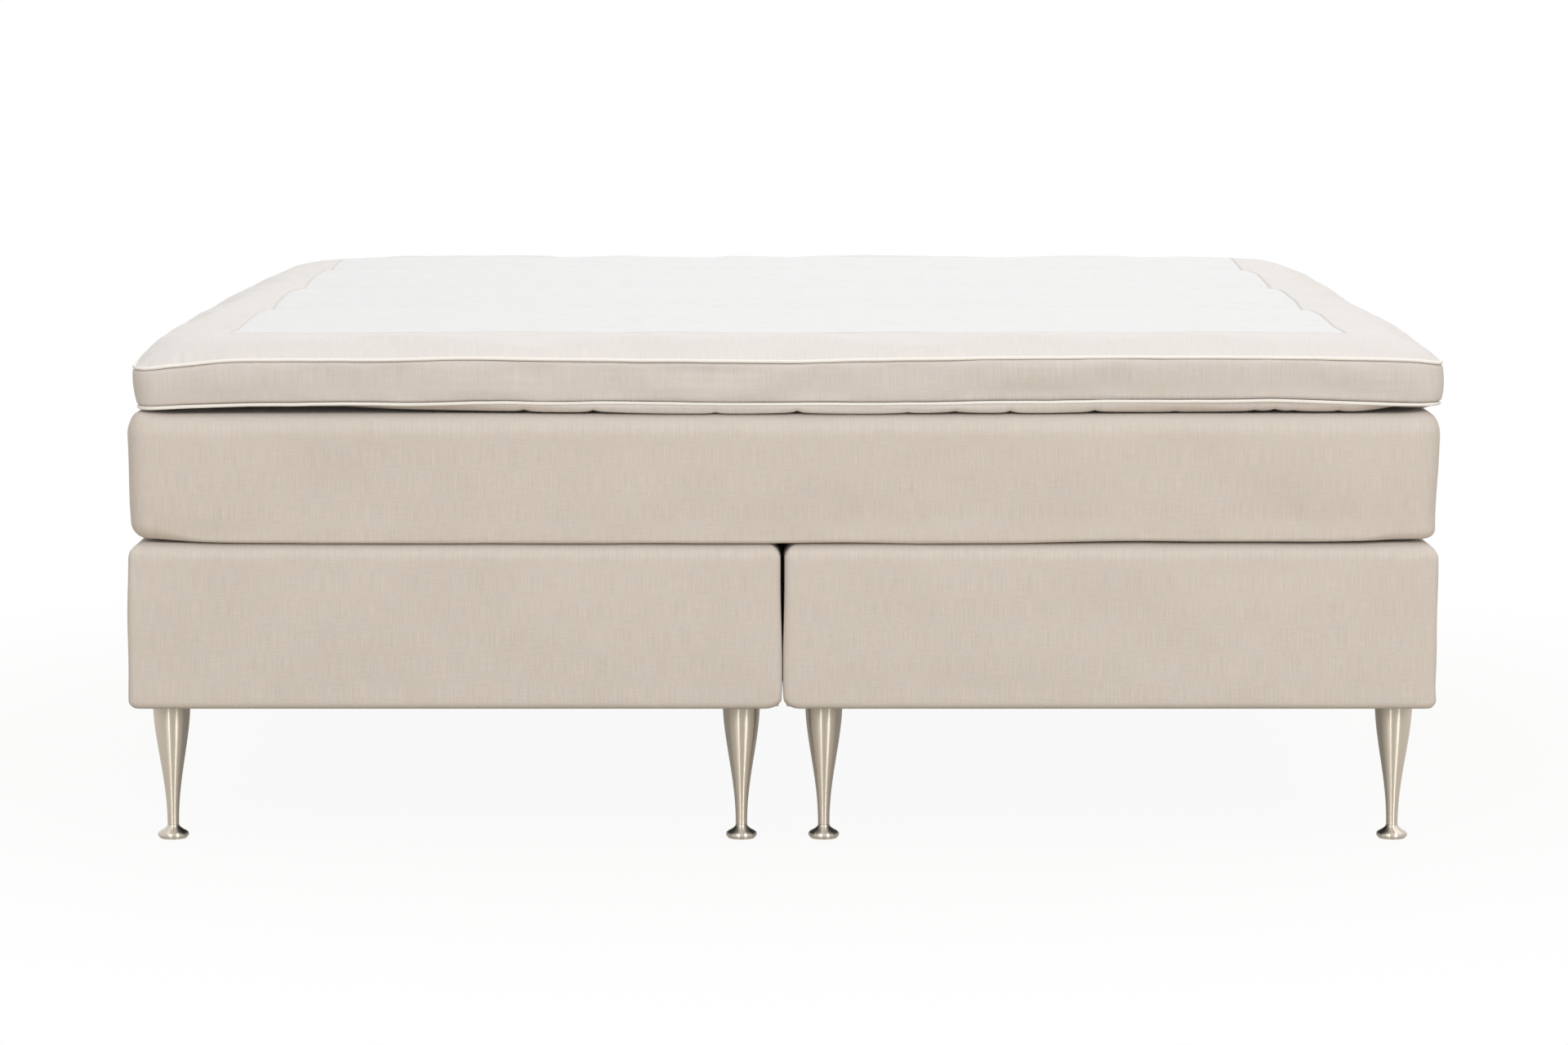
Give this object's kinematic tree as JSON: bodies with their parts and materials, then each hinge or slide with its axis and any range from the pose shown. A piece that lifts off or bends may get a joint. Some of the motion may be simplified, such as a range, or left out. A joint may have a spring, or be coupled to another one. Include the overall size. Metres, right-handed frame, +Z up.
{
  "type": "box spring bed",
  "caption": "Double box spring bed: upholstered spring bases on turned steel legs, a full-width mattress and a piped topper.",
  "frame": {"origin": "on the floor, under the middle of the bed", "axes": "+Z up, +Y along the bed from its foot end to its head end, +X across it to the right as seen from the foot end"},
  "size_m": [1.8091, 2, 0.7044],
  "materials": {
    "base_fabric": "fine beige linen-look weave over wadding",
    "mattress_fabric": "fine beige linen-look weave over wadding",
    "topper_fabric": "fine beige linen-look weave",
    "white_fabric": "smooth matt white knitted fabric",
    "piping": "cream woven piping over a cord",
    "lining": "dark spunbonded lining",
    "felt": "grey needled felt",
    "foam": "open-cell foam",
    "springs": "spring block, with its coils and their cloth as one solid",
    "timber": "planed softwood",
    "leg_steel": "satin turned steel",
    "foot_steel": "satin turned steel with a polished rim",
    "plate_steel": "zinc-plated sheet steel"
  },
  "bodies": {
    "bases": {"left_side_rail_outer": "timber", "left_side_rail_inner": "timber", "left_end_rail_front": "timber", "left_end_rail_rear": "timber", "left_slat_deck": "timber", "left_spring_unit": "springs", "left_spring_felt": "felt", "left_foam_pad": "foam", "left_cover": "base_fabric", "left_dust_cover": "lining", "left_corner_block_front_outer": "timber", "left_corner_block_front_inner": "timber", "left_corner_block_rear_outer": "timber", "left_corner_block_rear_inner": "timber", "right_side_rail_outer": "timber", "right_side_rail_inner": "timber", "right_end_rail_front": "timber", "right_end_rail_rear": "timber", "right_slat_deck": "timber", "right_spring_unit": "springs", "right_spring_felt": "felt", "right_foam_pad": "foam", "right_cover": "base_fabric", "right_dust_cover": "lining", "right_corner_block_front_outer": "timber", "right_corner_block_front_inner": "timber", "right_corner_block_rear_outer": "timber", "right_corner_block_rear_inner": "timber", "front_joining_plate": "plate_steel", "rear_joining_plate": "plate_steel"},
    "mattress": {"mattress_cover": "mattress_fabric", "mattress_underside": "lining", "mattress_lower_pad": "foam", "mattress_upper_pad": "foam", "mattress_edge_frame": "foam", "mattress_pocket_springs": "springs"},
    "topper": {"topper_core": "foam", "topper_side_band": "topper_fabric", "topper_top_border": "topper_fabric", "topper_centre_panel": "white_fabric", "topper_underside": "topper_fabric", "topper_upper_piping": "piping", "topper_lower_piping": "piping"},
    "left_leg_front_outer": {"left_leg_front_outer": "leg_steel", "left_foot_front_outer": "foot_steel"},
    "left_leg_front_inner": {"left_leg_front_inner": "leg_steel", "left_foot_front_inner": "foot_steel"},
    "left_leg_rear_outer": {"left_leg_rear_outer": "leg_steel", "left_foot_rear_outer": "foot_steel"},
    "left_leg_rear_inner": {"left_leg_rear_inner": "leg_steel", "left_foot_rear_inner": "foot_steel"},
    "right_leg_front_outer": {"right_leg_front_outer": "leg_steel", "right_foot_front_outer": "foot_steel"},
    "right_leg_front_inner": {"right_leg_front_inner": "leg_steel", "right_foot_front_inner": "foot_steel"},
    "right_leg_rear_outer": {"right_leg_rear_outer": "leg_steel", "right_foot_rear_outer": "foot_steel"},
    "right_leg_rear_inner": {"right_leg_rear_inner": "leg_steel", "right_foot_rear_inner": "foot_steel"}
  },
  "joints": [
    {"name": "mattress_lift", "type": "slide", "parent": "bases", "child": "mattress", "axis": [0, 0, 1], "range_m": [0, 0.3]},
    {"name": "topper_lift", "type": "slide", "parent": "mattress", "child": "topper", "axis": [0, 0, 1], "range_m": [0, 0.3]},
    {"name": "left_front_outer_leg_screw", "type": "hinge", "parent": "bases", "child": "left_leg_front_outer", "pos_m": [-0.8515, -0.938, 0.19], "axis": [0, 0, -1], "range_deg": [0, 7200]},
    {"name": "left_front_inner_leg_screw", "type": "hinge", "parent": "bases", "child": "left_leg_front_inner", "pos_m": [-0.0575, -0.938, 0.19], "axis": [0, 0, -1], "range_deg": [0, 7200]},
    {"name": "left_rear_outer_leg_screw", "type": "hinge", "parent": "bases", "child": "left_leg_rear_outer", "pos_m": [-0.8515, 0.938, 0.19], "axis": [0, 0, -1], "range_deg": [0, 7200]},
    {"name": "left_rear_inner_leg_screw", "type": "hinge", "parent": "bases", "child": "left_leg_rear_inner", "pos_m": [-0.0575, 0.938, 0.19], "axis": [0, 0, -1], "range_deg": [0, 7200]},
    {"name": "right_front_outer_leg_screw", "type": "hinge", "parent": "bases", "child": "right_leg_front_outer", "pos_m": [0.8515, -0.938, 0.19], "axis": [0, 0, -1], "range_deg": [0, 7200]},
    {"name": "right_front_inner_leg_screw", "type": "hinge", "parent": "bases", "child": "right_leg_front_inner", "pos_m": [0.0575, -0.938, 0.19], "axis": [0, 0, -1], "range_deg": [0, 7200]},
    {"name": "right_rear_outer_leg_screw", "type": "hinge", "parent": "bases", "child": "right_leg_rear_outer", "pos_m": [0.8515, 0.938, 0.19], "axis": [0, 0, -1], "range_deg": [0, 7200]},
    {"name": "right_rear_inner_leg_screw", "type": "hinge", "parent": "bases", "child": "right_leg_rear_inner", "pos_m": [0.0575, 0.938, 0.19], "axis": [0, 0, -1], "range_deg": [0, 7200]}
  ]
}
